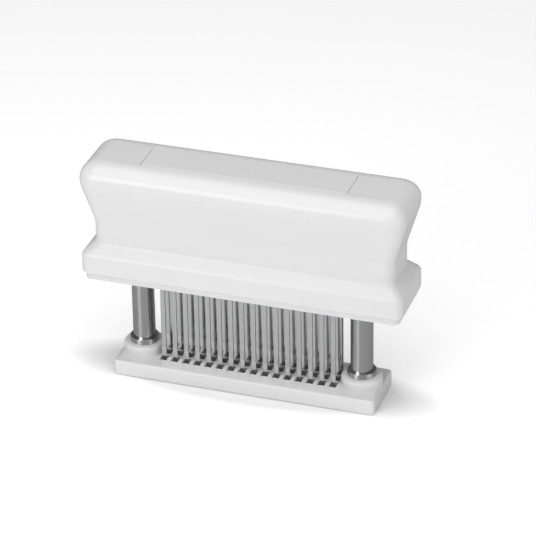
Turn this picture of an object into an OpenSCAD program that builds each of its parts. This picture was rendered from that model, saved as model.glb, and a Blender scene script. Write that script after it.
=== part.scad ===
// Hand-pressed blade tenderizer: a spring-loaded handle carries three rows of blades
// and slides down two columns that stand on a slotted base plate.
// Millimetres, +X along the handle, +Y to the back, +Z up, origin under the plate's centre.

/* [Blades] */
// Number of blades in each row
blades_per_row = 16; // [12:1:18]
// Number of rows
blade_rows = 3; // [2:1:3]
// Distance between neighbouring blades in a row
blade_pitch = 5.24; // [5.1:0.02:5.8]
// Distance between neighbouring rows
row_pitch = 5.6; // [5.3:0.1:5.8]
// Width of a blade across its flat face
blade_w = 2.1; // [1.6:0.1:2.4]
// Thickness of a blade
blade_t = 0.8; // [0.5:0.1:1]
// Width of the blade's head
head_w = 4.2; // [3.6:0.1:4.6]
// Height of the blade's head
head_h = 5.6; // [4.6:0.1:6.4]
// Diameter of the cross pins that carry the heads
pin_d = 2; // [1.6:0.1:2.2]
// Length of the slanted cutting tip
tip_len = 3; // [2:0.2:4.5]
// Height of the tips above the table with the handle up
tip_recess = 3; // [2:0.2:4.5]

/* [Base plate] */
// From the foot of a boss to the end of the plate
base_margin = 0.1; // [0.1:0.1:4]
// Width of the plate
base_w = 29.2; // [26:0.2:36]
// Thickness of the plate
base_t = 7.3; // [6.8:0.1:9]
// Corner radius of the plate in plan
base_corner_r = 1.8; // [1.4:0.1:4]
// Size of the plate's softened edges
base_edge = 0.9; // [0.4:0.1:1.2]
// Width of a blade slot along the row
slot_w = 3.2; // [2.8:0.1:3.6]
// Width of a blade slot across the row
slot_d = 4.4; // [3:0.1:4.6]

/* [Column bosses] */
// Height of a boss above the plate
boss_h = 4.9; // [4:0.1:8]
// Diameter of the boss at its top
boss_d = 18.4; // [16.4:0.2:18.6]
// How far the boss spreads at its foot
boss_flare = 0.4; // [0.2:0.1:1]
// Radius of the boss's upper edge
boss_edge = 1.8; // [0.6:0.1:2.2]

/* [Columns] */
// Diameter of a column
column_d = 10; // [9.6:0.1:10.4]
// Wall of the tube
column_wall = 1; // [0.9:0.05:1.2]
// How far the fillet above the foot flange reaches out
foot_fillet = 1.1; // [0.8:0.1:1.4]
// Height of that fillet
foot_fillet_h = 2; // [1:0.1:2.6]
// Rim of the foot flange outside the fillet
foot_rim = 0.2; // [0.1:0.1:0.6]
// Thickness of the foot flange
foot_t = 2.1; // [1.5:0.1:3]
// Thickness of the tube's closed floor above the plate's boss
floor_t = 4.6; // [4:0.1:6]
// Diameter of the spigot in the boss
spigot_d = 8; // [7:0.1:9]
// Length of the spigot below the flange
spigot_len = 6.4; // [5:0.1:6.6]
// Length of tube above the stop ring
collar_h = 2; // [1.5:0.1:2.6]

/* [Column screws] */
// Diameter of the screw that holds a column
column_screw_d = 4; // [3:0.1:4.4]
// Length of thread in the column
column_screw_len = 6; // [4:0.2:7]
// Diameter of the screw's head
column_screw_head_d = 7.6; // [7:0.1:8]
// Height of the screw's head
column_screw_head_h = 2.2; // [1.6:0.1:2.4]
// Diameter of the washer under the head
washer_d = 8.6; // [8.2:0.1:9]
// Thickness of the washer
washer_t = 0.8; // [0.5:0.1:0.9]
// Depth of the pocket in the plate's underside
screw_pocket = 3.4; // [3.3:0.1:3.8]

/* [Stop rings] */
// Outer diameter of a stop ring
ring_d = 12.8; // [12:0.1:13.4]
// Thickness of a stop ring
ring_t = 1.2; // [0.8:0.1:1.4]
// Depth of its groove in the column
ring_groove = 0.4; // [0.3:0.05:0.5]
// Opening of the ring
ring_gap = 3; // [2:0.2:4]

/* [Springs] */
// Diameter of the spring wire
wire_d = 0.8; // [0.6:0.05:0.9]
// Number of turns
spring_turns = 18; // [14:1:22]
// Diameter of the pin inside the spring
guide_pin_d = 4.6; // [3.6:0.1:4.8]
// Length of the pin inside the spring
guide_pin_len = 12; // [8:0.5:16]

/* [Motion] */
// How far the handle travels down
travel = 31; // [26:0.5:36]

/* [Handle] */
// From the column axis to the end of the flange
flange_end = 22.4; // [21.6:0.1:26]
// Width of the flange
flange_w = 35.2; // [34.6:0.2:40]
// Height of the flange
flange_h = 9.1; // [8:0.1:11]
// Corner radius of the flange
flange_r = 4; // [3:0.1:7]
// Height of the slope from the flange in to the waist
slope_h = 5; // [4:0.1:7]
// From the column axis to the end of the waist
waist_end = 17.4; // [17:0.1:20]
// Width of the waist
waist_w = 26.8; // [26:0.2:32]
// Height of the waist
waist_h = 10; // [8:0.2:12]
// Corner radius of the waist
waist_r = 5; // [4:0.1:7]
// Height of the sides from the waist out to the crown
side_h = 21; // [20.5:0.5:26]
// From the column axis to the end of the crown
crown_end = 22.8; // [22:0.1:27]
// Width of the crown
crown_w = 36.2; // [35.6:0.2:41]
// Height of the rounded crown
crown_h = 8; // [7.8:0.1:10]
// How far the crown rounds in to the flat top
crown_in = 9; // [8:0.1:9.2]
// Corner radius of the crown
crown_r = 7.5; // [5:0.1:9]
// Wall of the handle
wall = 2.5; // [2.2:0.1:2.8]
// Thickness of the roof
roof_t = 4; // [3.6:0.1:4.4]

/* [Top cover] */
// From the column axis to the end of the top cover
panel_end = 4.3; // [3.8:0.1:8]
// Width of the top cover
panel_w = 17.6; // [16:0.1:17.6]
// Thickness of the top cover
panel_t = 2; // [1.6:0.1:2.2]
// Width of the ledge under the top cover
panel_ledge = 2.5; // [2:0.1:3]

/* [Bottom cover] */
// Thickness of the bottom cover
cover_t = 3.2; // [2.8:0.1:4]
// How far the bottom cover stands in from the flange
cover_inset = 1.5; // [1:0.1:2]
// Height of the locating lip inside the handle
lip_h = 2.5; // [1.5:0.1:4]
// Thickness of the locating lip
lip_t = 1.5; // [1:0.1:1.8]
// Height of the hubs above the underside
hub_h = 12; // [11.6:0.1:13]
// Wall of a hub
hub_wall = 1.4; // [1.2:0.1:1.8]
// Wall of a guide bush
bush_wall = 1.3; // [1:0.1:1.5]
// Thickness of the guide bush's flange
bush_flange = 1.5; // [1:0.1:2]

/* [Cover screws] */
// Diameter of a cover screw
cover_screw_d = 2.8; // [2.4:0.1:3.2]
// Length of its thread above the cover
cover_screw_len = 11; // [8:0.5:14]
// Diameter of its head
cover_screw_head_d = 5.4; // [4.8:0.1:5.8]
// Height of its head
cover_screw_head_h = 1.6; // [1.2:0.1:1.8]
// Diameter of the screw boss in the handle
screw_boss_d = 6.6; // [6:0.1:7]
// Distance of the screws from the column axis
cover_screw_out = 11.4; // [11:0.1:12]
// How deep a screw boss runs into the wall of the waist
screw_boss_bite = 0.4; // [0.3:0.1:1]

/* [Blade carrier] */
// Height of the carrier block
carrier_h = 11; // [10:0.1:11.4]
// Depth of the grooves that take the heads
head_groove = 6.2; // [5.8:0.1:6.6]
// Wall beside the outer rows
carrier_side = 2.8; // [2:0.1:3]
// Wall beyond the last blade
carrier_end = 0.5; // [0.4:0.1:1.2]
// Room between the carrier and the hubs
carrier_room = 0.9; // [0.5:0.1:2]
// Thickness of the carrier's cap
cap_t = 2; // [1.6:0.1:3]
// Diameter of a carrier screw
carrier_screw_d = 2.4; // [2:0.1:2.6]
// Diameter of its head
carrier_screw_head_d = 4.2; // [3.8:0.1:4.4]
// Height of its head
carrier_screw_head_h = 1.6; // [1.2:0.1:1.8]

/* [Clearances] */
// Radial clearance of a shaft in its bore
fit_gap = 0.05; // [0.02:0.01:0.09]
// Clearance round blades, covers and the carrier's slots
slot_gap = 0.15; // [0.1:0.05:0.25]
// Room between the raised handle's bushes and the stop rings
stop_gap = 0.1; // [0.05:0.05:0.3]
// Room between the lowered handle and the foot of a column
foot_gap = 0.7; // [0.3:0.1:1.2]
// Radial clearance of a spring in its tube
spring_gap = 0.3; // [0.2:0.05:0.4]
// Depth of the clearance around a recessed screw head
head_gap = 0.3; // [0.2:0.1:0.4]

/* [Hidden] */

$fn = 64;
hull_fn = 32;
eps = 0.01;
corner_steps = 5;
blend_steps = 3;
crown_steps = 7;
fillet_steps = 6;

white = [0.93, 0.93, 0.92];
light_grey = [0.75, 0.76, 0.77];
steel = [0.72, 0.73, 0.74];
dark_steel = [0.5, 0.5, 0.52];

// Places along X and Y
blade_field = (blades_per_row - 1) * blade_pitch;
row_field = (blade_rows - 1) * row_pitch;
bush_r = column_d / 2 + fit_gap + bush_wall;
hub_r = bush_r + fit_gap + hub_wall;
carrier_half_l = blade_field / 2 + head_w / 2 + carrier_end;
carrier_half_w = row_field / 2 + blade_t / 2 + slot_gap + carrier_side;
column_x = carrier_half_l + carrier_room + hub_r;
blade_xs = [for (i = [0 : blades_per_row - 1]) i * blade_pitch - blade_field / 2];
row_ys = [for (i = [0 : blade_rows - 1]) i * row_pitch - row_field / 2];
sides = [-1, 1];

// Half sizes of the outlines
base_half = [column_x + boss_d / 2 + boss_flare + base_margin, base_w / 2];
flange_half = [column_x + flange_end, flange_w / 2];
waist_half = [column_x + waist_end, waist_w / 2];
crown_half = [column_x + crown_end, crown_w / 2];
cover_half = [flange_half[0] - cover_inset, flange_half[1] - cover_inset];
panel_half = [column_x - panel_end, panel_w / 2];

// Heights, from the table up
foot_z = base_t + boss_h;
foot_r = column_d / 2 + foot_fillet + foot_rim;
foot_top_z = foot_z + foot_t + foot_fillet_h;
tube_floor_z = foot_z + floor_t;
cover_z = foot_top_z + foot_gap + travel;
flange_z = cover_z + cover_t;
slope_z = flange_z + flange_h;
waist_z = slope_z + slope_h;
side_z = waist_z + waist_h;
crown_z = side_z + side_h;
top_z = crown_z + crown_h;
roof_z = top_z - roof_t;
hub_top_z = cover_z + hub_h;
ring_z = hub_top_z + bush_flange + stop_gap;
column_top_z = ring_z + ring_t + collar_h;
carrier_top_z = flange_z + carrier_h;
head_floor_z = carrier_top_z - head_groove;
pin_z = head_floor_z + head_h / 2;
cover_screw_y = waist_half[1] - wall - screw_boss_d / 2 + screw_boss_bite;

// Column bore, spring and its seat
bore_r = column_d / 2 - column_wall;
groove_r = column_d / 2 - ring_groove;
spring_r = bore_r - spring_gap - wire_d / 2;
seat_flange_t = 1.4;
seat_overlap = 5;
seat_z = column_top_z + travel - seat_overlap;
seat_stud_r = 2;
seat_stud_h = 2.4;

// ---- shapes shared by several pieces ----

// A block with round corners in plan, standing on z
module rounded_block(half, z, h, r) {
    translate([0, 0, z]) {
        translate([r - half[0], -half[1], 0]) cube([2 * (half[0] - r), 2 * half[1], h]);
        translate([-half[0], r - half[1], 0]) cube([2 * half[0], 2 * (half[1] - r), h]);
        for (x = sides, y = sides)
            translate([x * (half[0] - r), y * (half[1] - r), 0]) cylinder(r = r, h = h);
    }
}

// A box centred on x and y, from z up
module slot(x, y, z, w, d, h) {
    translate([x - w / 2, y - d / 2, z]) cube([w, d, h]);
}

// One closed skin over a stack of rings with the same number of points
module loft(rings) {
    n = len(rings[0]);
    last = len(rings) - 1;
    points = [for (ring = rings) for (p = ring) p];
    walls = [for (k = [0 : last - 1]) for (i = [0 : n - 1])
        let (a = k * n + i, b = k * n + (i + 1) % n)
        each [[a, a + n, b + n], [a, b + n, b]]];
    bottom = [[for (i = [0 : n - 1]) i]];
    top = [[for (i = [n - 1 : -1 : 0]) last * n + i]];
    polyhedron(points = points, faces = concat(bottom, walls, top), convexity = 6);
}

// Round-cornered rectangle at height z, from [z, half length, half width, corner radius]
function rounded_ring(s) = [for (q = [0 : 3]) for (i = [0 : corner_steps])
    let (a = 90 * (q + i / corner_steps), sx = (q == 0 || q == 3) ? 1 : -1, sy = q < 2 ? 1 : -1)
    [sx * (s[1] - s[3]) + s[3] * cos(a), sy * (s[2] - s[3]) + s[3] * sin(a), s[0]]];

// Curve that rounds corner q between p and r, leaving each leg at height dz from the corner
function blend(p, q, r, dz) =
    let (a = q + (p - q) * dz / abs(p[0] - q[0]), b = q + (r - q) * dz / abs(r[0] - q[0]))
    [for (i = [0 : blend_steps]) let (t = i / blend_steps)
        a * (1 - t) * (1 - t) + q * 2 * t * (1 - t) + b * t * t];

// Pan head with a cross recess, its underside at z, pointing down (dir -1) or up (dir 1)
module screw_head(d, h, dir) {
    difference() {
        translate([0, 0, dir < 0 ? -h : 0]) cylinder(d = d, h = h);
        for (turn = [0, 90])
            rotate([0, 0, turn])
                slot(0, 0, dir < 0 ? -h - eps : h / 2, d * 0.55, d * 0.13, h / 2 + eps);
    }
}

// ---- base ----

module base_block() {
    hull()
        for (x = sides, y = sides, e = [0, 0.3, 1])
            translate([x * (base_half[0] - base_corner_r), y * (base_half[1] - base_corner_r),
                base_edge * (1 - e) * (1 - e)])
                cylinder(r = base_corner_r - base_edge * e * e,
                    h = base_t - 2 * base_edge * (1 - e) * (1 - e), $fn = hull_fn);
}

module column_boss() {
    foot = [for (i = [0 : fillet_steps]) let (a = 270 - 90 * i / fillet_steps)
        [boss_d / 2 + boss_flare * (1 + cos(a)), base_t + boss_flare * (1 + sin(a))]];
    edge = [for (i = [0 : fillet_steps]) let (a = 90 * i / fillet_steps)
        [boss_d / 2 - boss_edge * (1 - cos(a)), foot_z - boss_edge * (1 - sin(a))]];
    rotate_extrude()
        polygon(concat([[0, base_t / 2], [boss_d / 2 + boss_flare, base_t / 2]], foot, edge,
            [[0, foot_z]]));
}

module base_plate() {
    color(white)
        difference() {
            union() {
                base_block();
                for (x = sides) translate([x * column_x, 0, 0]) column_boss();
            }
            for (x = blade_xs, y = row_ys) slot(x, y, -1, slot_w, slot_d, base_t + 2);
            for (x = sides) translate([x * column_x, 0, 0]) {
                translate([0, 0, foot_z - spigot_len]) cylinder(r = spigot_d / 2 + fit_gap, h = foot_z);
                translate([0, 0, -1]) cylinder(d = washer_d + 2 * head_gap, h = 1 + screw_pocket);
                cylinder(r = column_screw_d / 2 + slot_gap, h = foot_z);
            }
        }
}

module column(side) {
    fillet = [for (i = [0 : fillet_steps]) let (a = 270 - 90 * i / fillet_steps)
        [column_d / 2 + foot_fillet * (1 + cos(a)), foot_top_z + foot_fillet_h * sin(a)]];
    lead_in = 0.4;
    color(steel)
        translate([side * column_x, 0, 0])
            difference() {
                rotate_extrude()
                    polygon(concat(
                        [[0, foot_z - spigot_len], [spigot_d / 2, foot_z - spigot_len],
                        [spigot_d / 2, foot_z], [foot_r, foot_z], [foot_r, foot_z + foot_t]],
                        fillet,
                        [[column_d / 2, ring_z - fit_gap], [groove_r, ring_z - fit_gap],
                        [groove_r, ring_z + ring_t + fit_gap],
                        [column_d / 2, ring_z + ring_t + fit_gap],
                        [column_d / 2, column_top_z - lead_in],
                        [column_d / 2 - lead_in, column_top_z], [0, column_top_z]]));
                translate([0, 0, tube_floor_z]) cylinder(r = bore_r, h = column_top_z);
                translate([0, 0, foot_z - spigot_len - 1])
                    cylinder(r = column_screw_d / 2 + fit_gap, h = 1 + column_screw_len + 1);
            }
}

module column_screws() {
    shank = foot_z - spigot_len - screw_pocket + column_screw_len;
    color(dark_steel)
        for (x = sides) translate([x * column_x, 0, screw_pocket - washer_t]) {
            screw_head(column_screw_head_d, column_screw_head_h, -1);
            translate([0, 0, -eps]) cylinder(d = column_screw_d, h = eps + washer_t + shank);
        }
}

module column_washers() {
    color(steel)
        for (x = sides) translate([x * column_x, 0, screw_pocket - washer_t])
            difference() {
                cylinder(d = washer_d, h = washer_t);
                translate([0, 0, -1]) cylinder(r = column_screw_d / 2 + fit_gap, h = washer_t + 2);
            }
}

module stop_ring(side) {
    color(dark_steel)
        translate([side * column_x, 0, ring_z])
            difference() {
                cylinder(d = ring_d, h = ring_t);
                translate([0, 0, -1]) cylinder(r = groove_r + fit_gap, h = ring_t + 2);
                slot(0, -ring_d / 2, -1, ring_gap, ring_d, ring_t + 2);
            }
}

// ---- springs ----

spring_steps = 8;
wire_sides = 6;
spring_bend = wire_d;
end_angles = [90, 60, 30];
spring_len = seat_z - tube_floor_z;
lead_h = wire_d + spring_bend;
helix_h = spring_len - 2 * lead_h;
spring_pitch = helix_h / spring_turns;
spring_slope = atan(spring_pitch / (2 * PI * spring_r));

function around(a) = [cos(a), sin(a), 0];
function along(a, rise) = [-sin(a) * cos(rise), cos(a) * cos(rise), sin(rise)];
function bend_offset(a, rise) =
    spring_bend * ((1 - sin(rise)) * along(a, 0) + [0, 0, cos(rise)]);

// Each station holds a centre, the angle round the spring and the rise of the wire there
helix = [for (i = [0 : spring_turns * spring_steps]) let (a = 360 * i / spring_steps)
    [spring_r * around(a) + [0, 0, lead_h + spring_pitch * i / spring_steps], a, spring_slope]];
lower_start = helix[0][0] - bend_offset(0, spring_slope);
upper_end = [lower_start[0], -lower_start[1], spring_len - wire_d];
lower_lead = concat(
    [[[lower_start[0], lower_start[1], 0], 0, 90]],
    [for (rise = end_angles) [lower_start + bend_offset(0, rise), 0, rise]]);
upper_lead = concat(
    [for (i = [2 : -1 : 0]) let (rise = end_angles[i], o = bend_offset(0, rise))
        [upper_end + [-o[0], -o[1], -o[2]], 0, rise]],
    [[[upper_end[0], upper_end[1], spring_len], 0, 90]]);
spring_path = concat(lower_lead, helix, upper_lead);

function wire_ring(s) =
    let (out = around(s[1]), up = cross(along(s[1], s[2]), out))
    [for (i = [0 : wire_sides - 1]) let (a = 360 * i / wire_sides)
        s[0] + wire_d / 2 * (cos(a) * out + sin(a) * up)];

spring_self_gap = min([for (i = [0 : len(spring_path) - 1])
    for (j = [i + spring_steps - 2 : 1 : min(i + 2 * spring_steps, len(spring_path) - 1)])
    norm(spring_path[i][0] - spring_path[j][0])]) - wire_d;
echo(spring_self_gap = spring_self_gap);

module spring(side) {
    color(steel)
        translate([side * column_x, 0, tube_floor_z])
            loft([for (s = spring_path) wire_ring(s)]);
}

// ---- handle ----

// Outline of the handle as stations [z, half length, half width, corner radius].
// inset moves it inwards for the cavity, roof lowers the crown, foot lowers the open end.
function handle_profile(inset, roof, foot) =
    let (
        edge = 0.8,
        f0 = [flange_z, flange_half[0] - edge, flange_half[1] - edge, flange_r - edge],
        f1 = [flange_z + edge, flange_half[0], flange_half[1], flange_r],
        f2 = [slope_z, flange_half[0], flange_half[1], flange_r],
        w1 = [waist_z, waist_half[0], waist_half[1], waist_r],
        w2 = [side_z, waist_half[0], waist_half[1], waist_r],
        c1 = [crown_z - 2.4, crown_half[0], crown_half[1], crown_r],
        c2 = [crown_z, crown_half[0], crown_half[1], crown_r],
        crown = [for (i = [1 : crown_steps]) let (a = 90 * i / crown_steps, d = 1 - cos(a))
            [crown_z + (crown_h - roof) * sin(a), crown_half[0] - crown_in * d,
            crown_half[1] - crown_in * d, crown_r - (crown_r - 2) * d]],
        stations = concat([foot > 0 ? f1 - [edge + foot, 0, 0, 0] : f0, f1],
            blend(f1, f2, w1, 1.6), blend(f2, w1, w2, 1.8), blend(w1, w2, c1, 2),
            blend(w2, c1, c2, 2.4), crown)
    )
    [for (s = stations) [s[0], s[1] - inset, s[2] - inset, max(s[3] - inset, 0.6)]];

module handle_shell() {
    color(white)
        difference() {
            loft([for (s = handle_profile(0, 0, 0)) rounded_ring(s)]);
            difference() {
                loft([for (s = handle_profile(wall, roof_t, 1)) rounded_ring(s)]);
                for (x = sides, y = sides)
                    translate([x * (column_x + cover_screw_out), y * cover_screw_y, flange_z])
                        cylinder(d = screw_boss_d, h = waist_z + waist_h / 2 - flange_z);
            }
            for (x = sides, y = sides)
                translate([x * (column_x + cover_screw_out), y * cover_screw_y, flange_z - 1])
                    cylinder(r = cover_screw_d / 2 + fit_gap, h = 2 + cover_screw_len);
            for (x = sides) translate([x * column_x, 0, roof_z - 1])
                cylinder(r = seat_stud_r + fit_gap, h = 1 + seat_stud_h + slot_gap);
            rounded_block(panel_half + [slot_gap, slot_gap], top_z - panel_t, panel_t + 1, 1.5);
            rounded_block(panel_half - [panel_ledge, panel_ledge], roof_z - 1, roof_t, 1);
        }
}

module top_cover() {
    rail_half = panel_half - [panel_ledge + slot_gap, panel_ledge + slot_gap];
    rail_t = 1.4;
    hook_l = 10;
    hook_out = 1;
    hook_h = 1.2;
    hook_z = roof_z - slot_gap - hook_h;
    color(white) {
        rounded_block(panel_half, top_z - panel_t, panel_t, 1.5);
        for (y = sides) {
            slot(0, y * (rail_half[1] - rail_t / 2), hook_z, 2 * rail_half[0] - 4, rail_t,
                top_z - panel_t - hook_z + eps);
            for (x = [-0.7, 0, 0.7])
                slot(x * rail_half[0], y * (rail_half[1] - eps + hook_out / 2), hook_z, hook_l,
                    hook_out + 2 * eps, hook_h);
        }
    }
}

module bottom_cover() {
    lip_half = flange_half - [wall + slot_gap, wall + slot_gap];
    lip_r = flange_r - wall;
    color(white)
        difference() {
            union() {
                rounded_block(cover_half, cover_z, cover_t, flange_r - 1);
                difference() {
                    rounded_block(lip_half, flange_z - eps, lip_h + eps, lip_r);
                    rounded_block(lip_half - [lip_t, lip_t], flange_z, lip_h + 1, lip_r / 2);
                }
                for (x = sides) translate([x * column_x, 0, cover_z]) cylinder(r = hub_r, h = hub_h);
            }
            for (x = sides) translate([x * column_x, 0, cover_z - 1])
                cylinder(r = bush_r + fit_gap, h = hub_h + 2);
            for (x = blade_xs, y = row_ys)
                slot(x, y, cover_z - 1, blade_w + 4 * slot_gap, blade_t + 4 * slot_gap, cover_t + 2);
            for (x = sides, y = sides)
                translate([x * (column_x + cover_screw_out), y * cover_screw_y, cover_z - 1]) {
                    cylinder(r = cover_screw_d / 2 + slot_gap, h = cover_t + 2);
                    cylinder(r = cover_screw_head_d / 2 + head_gap, h = 1 + cover_screw_head_h + slot_gap);
                }
            for (x = sides, y = sides)
                translate([x * carrier_screw_x, y * carrier_screw_y, cover_z + 0.8])
                    cylinder(r = carrier_screw_d / 2 + fit_gap, h = cover_t);
        }
}

module guide_bush(side) {
    start = 0.4;
    color(light_grey)
        translate([side * column_x, 0, 0])
            difference() {
                union() {
                    translate([0, 0, cover_z + start]) cylinder(r = bush_r, h = hub_h - start);
                    translate([0, 0, hub_top_z]) cylinder(r = hub_r, h = bush_flange);
                }
                translate([0, 0, cover_z - 1]) cylinder(r = column_d / 2 + fit_gap, h = hub_h + 4);
            }
}

module spring_seat(side) {
    color(light_grey)
        translate([side * column_x, 0, 0]) {
            translate([0, 0, roof_z - seat_flange_t]) cylinder(r = column_d / 2, h = seat_flange_t);
            translate([0, 0, roof_z - eps]) cylinder(r = seat_stud_r, h = seat_stud_h + eps);
            translate([0, 0, seat_z])
                cylinder(r = bore_r - spring_gap, h = roof_z - seat_flange_t - seat_z + eps);
            translate([0, 0, seat_z - guide_pin_len])
                cylinder(d = guide_pin_d, h = guide_pin_len + eps);
        }
}

module cover_screws() {
    color(dark_steel)
        for (x = sides, y = sides)
            translate([x * (column_x + cover_screw_out), y * cover_screw_y,
                cover_z + cover_screw_head_h + slot_gap]) {
                screw_head(cover_screw_head_d, cover_screw_head_h, -1);
                translate([0, 0, -eps]) cylinder(d = cover_screw_d, h = eps + cover_screw_len);
            }
}

// ---- blades and what holds them ----

carrier_screw_x = blade_field / 2 - blade_pitch / 2;
carrier_screw_y = row_pitch / 2;

module blade_carrier() {
    color(light_grey)
        difference() {
            rounded_block([carrier_half_l, carrier_half_w], flange_z, carrier_h, 1);
            for (x = blade_xs, y = row_ys)
                slot(x, y, flange_z - 1, blade_w + 2 * slot_gap, blade_t + 2 * slot_gap, carrier_h);
            for (y = row_ys)
                slot(0, y, head_floor_z, blade_field + head_w + 2 * slot_gap, blade_t + 2 * slot_gap,
                    head_groove + 1);
            for (x = blade_xs) translate([x, 0, pin_z])
                rotate([90, 0, 0])
                    cylinder(r = pin_d / 2 + fit_gap, h = 2 * carrier_half_w + 2, center = true);
            for (x = sides, y = sides)
                translate([x * carrier_screw_x, y * carrier_screw_y, flange_z - 1])
                    cylinder(r = carrier_screw_d / 2 + fit_gap, h = carrier_h + 2);
        }
}

module carrier_cap() {
    color(light_grey)
        difference() {
            rounded_block([carrier_half_l, carrier_half_w], carrier_top_z, cap_t, 1);
            for (x = sides, y = sides)
                translate([x * carrier_screw_x, y * carrier_screw_y, carrier_top_z - 1])
                    cylinder(r = carrier_screw_d / 2 + fit_gap, h = cap_t + 2);
        }
}

module carrier_screws() {
    bite = 2;
    color(dark_steel)
        for (x = sides, y = sides)
            translate([x * carrier_screw_x, y * carrier_screw_y, carrier_top_z + cap_t]) {
                screw_head(carrier_screw_head_d, carrier_screw_head_h, 1);
                translate([0, 0, -cap_t - carrier_h - bite])
                    cylinder(d = carrier_screw_d, h = cap_t + carrier_h + bite + eps);
            }
}

module blade_pins() {
    color(steel)
        for (x = blade_xs) translate([x, 0, pin_z])
            rotate([90, 0, 0]) cylinder(d = pin_d, h = 2 * carrier_half_w, center = true);
}

module blade() {
    shank = blade_w / 2;
    head = head_w / 2;
    head_top_z = head_floor_z + head_h;
    rotate([90, 0, 0])
        linear_extrude(height = blade_t, center = true)
            difference() {
                polygon([[shank, tip_recess], [shank, head_floor_z], [head, head_floor_z],
                    [head, head_top_z], [-head, head_top_z], [-head, head_floor_z],
                    [-shank, head_floor_z], [-shank, tip_recess + tip_len]]);
                translate([0, pin_z]) circle(r = pin_d / 2 + fit_gap);
            }
}

module blade_row(index) {
    color(steel)
        if (index < blade_rows)
            for (x = blade_xs) translate([x, row_ys[index], 0]) blade();
}

base_plate();
column(-1);  // column_left
column(1);  // column_right
column_screws();
column_washers();
stop_ring(-1);  // stop_ring_left
stop_ring(1);  // stop_ring_right
spring(-1);  // spring_left
spring(1);  // spring_right
handle_shell();
top_cover();
bottom_cover();
guide_bush(-1);  // guide_bush_left
guide_bush(1);  // guide_bush_right
spring_seat(-1);  // spring_seat_left
spring_seat(1);  // spring_seat_right
cover_screws();
blade_carrier();
carrier_cap();
carrier_screws();
blade_pins();
blade_row(0);  // blades_front
blade_row(1);  // blades_middle
blade_row(2);  // blades_rear
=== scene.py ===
"""A hand-pressed blade tenderizer, dressed for the camera piece by piece, from the base plate up.

Metres. The handle runs along X, the front faces -Y, Z is up and the table is at zero.
"""

from math import ceil, cos, pi, radians, sin, tau

import bmesh
import bpy
from mathutils import Matrix, Vector
from mathutils.geometry import tessellate_polygon


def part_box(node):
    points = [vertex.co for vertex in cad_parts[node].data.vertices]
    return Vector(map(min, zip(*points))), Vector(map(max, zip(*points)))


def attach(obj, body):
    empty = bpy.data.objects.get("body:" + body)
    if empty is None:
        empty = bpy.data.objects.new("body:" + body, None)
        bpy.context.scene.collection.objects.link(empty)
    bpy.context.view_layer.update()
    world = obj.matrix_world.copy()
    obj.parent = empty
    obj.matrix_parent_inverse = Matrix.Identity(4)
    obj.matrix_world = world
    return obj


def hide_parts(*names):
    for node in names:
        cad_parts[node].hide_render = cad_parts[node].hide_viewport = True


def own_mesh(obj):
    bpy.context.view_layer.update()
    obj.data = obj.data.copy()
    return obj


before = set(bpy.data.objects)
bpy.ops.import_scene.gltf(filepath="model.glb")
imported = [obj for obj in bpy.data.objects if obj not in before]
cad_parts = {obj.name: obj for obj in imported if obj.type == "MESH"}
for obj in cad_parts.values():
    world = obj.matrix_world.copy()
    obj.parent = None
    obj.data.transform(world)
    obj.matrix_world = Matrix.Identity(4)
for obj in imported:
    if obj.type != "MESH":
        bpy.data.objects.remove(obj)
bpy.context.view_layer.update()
mm = 0.001

# ---- Base plate ----
# The foot of the tool, injection moulded in glossy white ABS. A grid of slots guides the blades,
# and a boss at each end takes the foot of a column, held by a screw from a pocket underneath.

base_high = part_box("base_plate")[1]
column_low, column_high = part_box("column_right")
column_x = (column_low.x + column_high.x) / 2
blades_low, blades_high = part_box("blades_front")

plate_t = 7.3 * mm
plate_corner = 1.8 * mm
plate_edge = 0.9 * mm
boss_r = 9.2 * mm
boss_flare = 0.4 * mm
boss_edge = 1.8 * mm
spigot_r = 4.0 * mm
spigot_fit = 0.05 * mm
screw_hole_r = 2.15 * mm
screw_pocket_r = 4.6 * mm
screw_pocket_depth = 3.4 * mm

blades_per_row = 16
blade_rows = 3
blade_head_w = 4.2 * mm
blade_pitch = (blades_high.x - blades_low.x - blade_head_w) / (blades_per_row - 1)
row_y = -(blades_low.y + blades_high.y) / 2
slot_size = (3.2 * mm, 4.4 * mm)
slot_corner = 0.3 * mm
slot_rim = 0.08 * mm


class Wire:
    """One output of a node, so that node maths is written as a plain expression."""

    def __init__(self, tree, socket=None):
        self.tree = tree
        self.socket = socket

    def node(self, kind, inputs=None, output=0, stops=(), **settings):
        """Adds a node: first its settings and a ramp's stops, then its sockets' values or links."""
        made = self.tree.nodes.new(kind)
        for name, value in settings.items():
            setattr(made, name, value)
        for place, (position, colour) in enumerate(stops):
            ramp = made.color_ramp.elements
            stop = ramp[place] if place < len(ramp) else ramp.new(position)
            stop.position = position
            stop.color = colour
        for name, value in (inputs or {}).items():
            if isinstance(value, Wire):
                self.tree.links.new(value.socket, made.inputs[name])
            else:
                made.inputs[name].default_value = value
        return Wire(self.tree, made.outputs[output]) if made.outputs else None

    def maths(self, operation, first, second=0.0):
        return self.node("ShaderNodeMath", {0: first, 1: second}, operation=operation)

    def __add__(self, other):
        return self.maths("ADD", self, other)

    def __radd__(self, other):
        return self.maths("ADD", other, self)

    def __sub__(self, other):
        return self.maths("SUBTRACT", self, other)

    def __rsub__(self, other):
        return self.maths("SUBTRACT", other, self)

    def __mul__(self, other):
        return self.maths("MULTIPLY", self, other)

    def __rmul__(self, other):
        return self.maths("MULTIPLY", other, self)

    def between(self, dark, light):
        """The colour that lies between two others, with this wire as the share of the second."""
        inputs = {"Factor": self, 6: dark, 7: light}
        return self.node("ShaderNodeMix", inputs, output=2, data_type="RGBA")


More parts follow.
